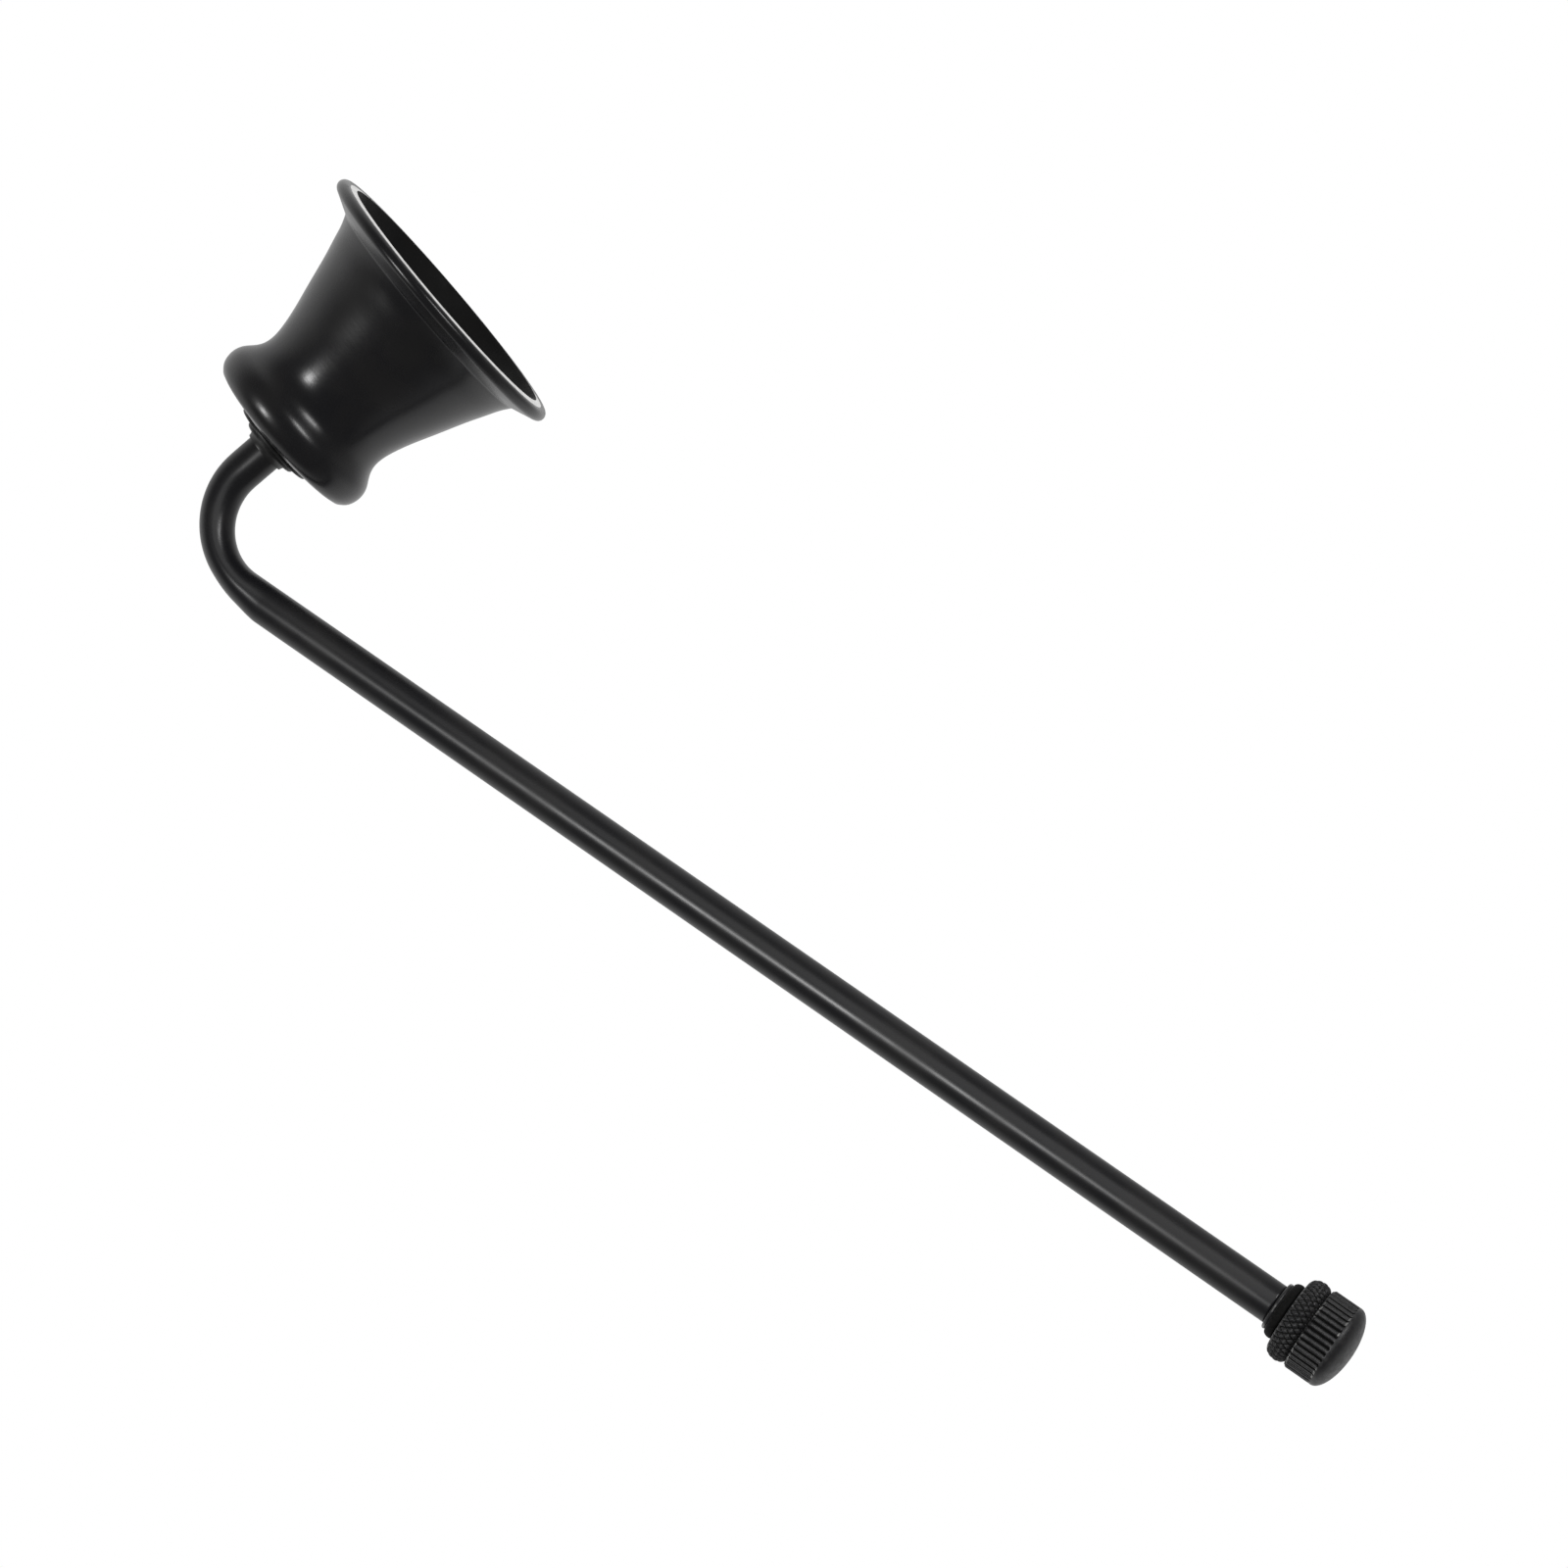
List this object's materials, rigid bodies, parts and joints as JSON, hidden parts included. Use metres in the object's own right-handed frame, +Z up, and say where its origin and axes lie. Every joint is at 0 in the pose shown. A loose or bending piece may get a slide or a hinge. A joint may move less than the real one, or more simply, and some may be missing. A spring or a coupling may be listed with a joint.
{
  "type": "candle snuffer",
  "caption": "Candle snuffer: flared cup with a beaded shoulder on a bent tube handle that ends in a knurled ring and a fluted, domed knob.",
  "frame": {"origin": "middle of the object's length, on the surface it rests on", "axes": "+Z up with the snuffer resting on the far edge of its rim and on its knob, +X along the handle from the cup to the knob, Y across"},
  "size_m": [0.225, 0.0456, 0.0545],
  "materials": {
    "cup_enamel": "satin black enamel on spun steel",
    "tube_enamel": "semi-gloss black enamel on steel tube",
    "knob_enamel": "fine-textured black enamel on a knurled and fluted casting",
    "black_hardware": "blackened steel",
    "zinc_steel": "zinc-plated steel"
  },
  "bodies": {
    "handle": {"handle_tube": "tube_enamel", "tube_plug_bell": "zinc_steel", "tube_plug_knob": "zinc_steel", "backing_washer": "black_hardware", "tube_collar": "black_hardware", "taper_ferrule": "knob_enamel"},
    "cup": {"bell_shell": "cup_enamel"},
    "cup_screw": {"bell_screw": "black_hardware", "lock_washer": "black_hardware", "inner_washer": "black_hardware"},
    "stud": {"knob_stud": "zinc_steel"},
    "lock_ring": {"knurled_ring": "knob_enamel"},
    "knob": {"fluted_knob": "knob_enamel"}
  },
  "joints": [
    {"name": "cup_turn", "type": "hinge", "parent": "handle", "child": "cup", "pos_m": [-0.09115, 0, 0.03416], "axis": [-0.0457, 0, 0.999], "continuous": true},
    {"name": "screw_travel", "type": "slide", "parent": "handle", "child": "cup_screw", "axis": [0.0457, 0, -0.999], "range_m": [0, 0.0053]},
    {"name": "stud_travel", "type": "slide", "parent": "handle", "child": "stud", "axis": [0.9712, 0, -0.2382], "range_m": [0, 0.0044]},
    {"name": "ring_turn", "type": "hinge", "parent": "stud", "child": "lock_ring", "pos_m": [0.09969, 0, 0.0086], "axis": [0.9712, 0, -0.2382], "continuous": true},
    {"name": "knob_turn", "type": "hinge", "parent": "stud", "child": "knob", "pos_m": [0.09969, 0, 0.0086], "axis": [0.9712, 0, -0.2382], "continuous": true}
  ]
}
